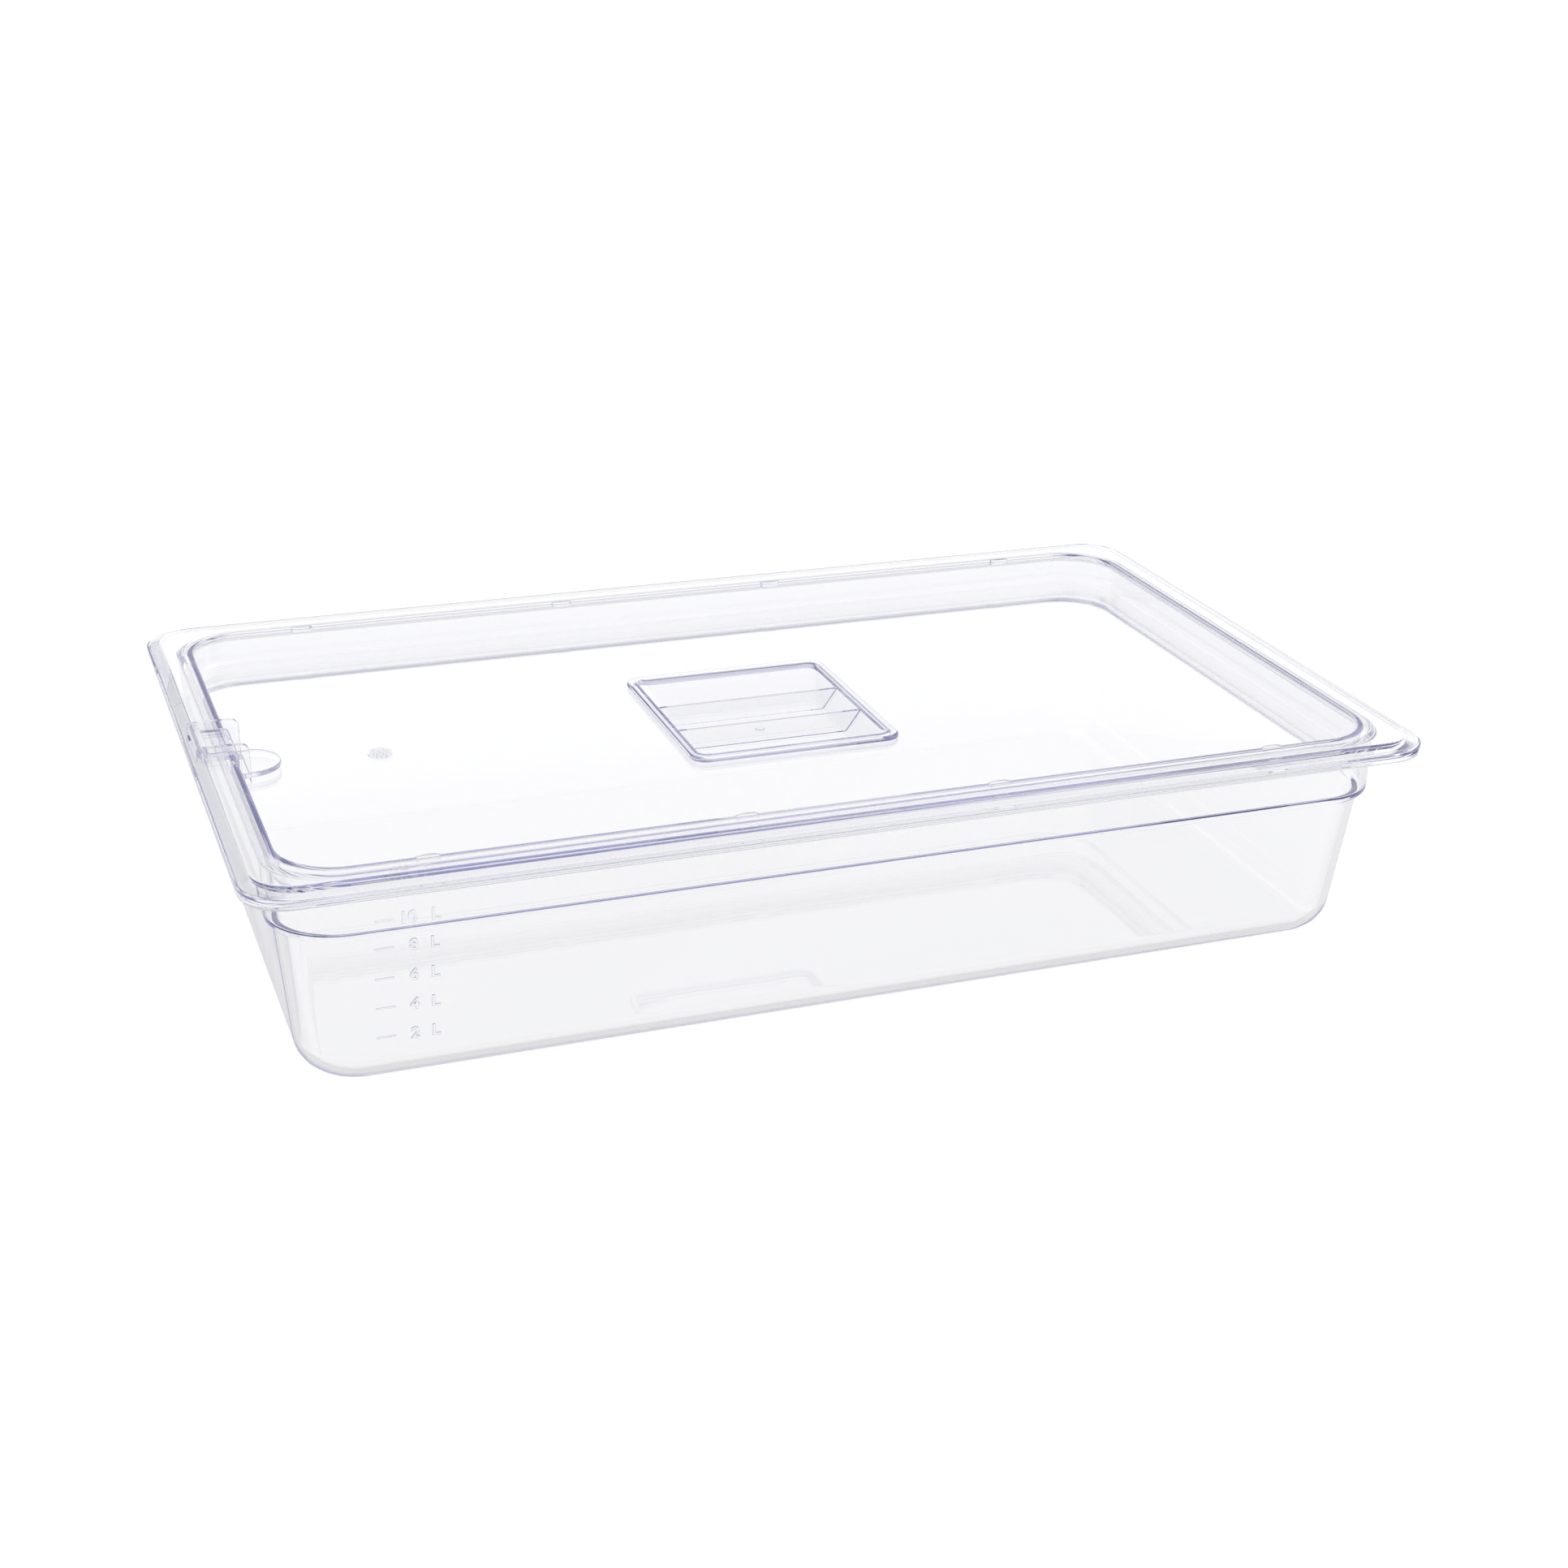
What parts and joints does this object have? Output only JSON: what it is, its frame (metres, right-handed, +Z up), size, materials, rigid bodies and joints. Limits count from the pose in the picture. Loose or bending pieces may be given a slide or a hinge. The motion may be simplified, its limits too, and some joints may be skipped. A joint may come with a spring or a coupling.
{
  "type": "clear gastronorm food pan with notched lid",
  "caption": "Clear full-size deli food pan with a bevelled flange and a stacking shoulder, and a recessed lift-off lid with a pocket handle and a hinged notch flap.",
  "frame": {"origin": "centre of the pan's flat base", "axes": "+X along the long side, away from the lid's notch; +Y across, towards the back long side; +Z up"},
  "size_m": [0.53, 0.325, 0.107],
  "materials": {
    "pan_clear": "clear polycarbonate, moulded gloss",
    "lid_clear": "clear polycarbonate, moulded gloss",
    "handle_clear": "clear polycarbonate with a faint violet cast, moulded gloss",
    "flap_clear": "clear polycarbonate, moulded gloss",
    "pin_clear": "clear polycarbonate, turned"
  },
  "bodies": {
    "pan": {"pan": "pan_clear"},
    "lid": {"lid": "lid_clear", "lid_handle": "handle_clear", "hinge_pin": "pin_clear"},
    "notch_flap": {"notch_flap": "flap_clear"}
  },
  "joints": [
    {"name": "lid_lift", "type": "slide", "parent": "pan", "child": "lid", "axis": [0, 0, 1], "range_m": [0, 0.15]},
    {"name": "flap_hinge", "type": "hinge", "parent": "lid", "child": "notch_flap", "pos_m": [-0.2595, 0, 0.1041], "axis": [0, -1, 0], "range_deg": [0, 110]}
  ]
}
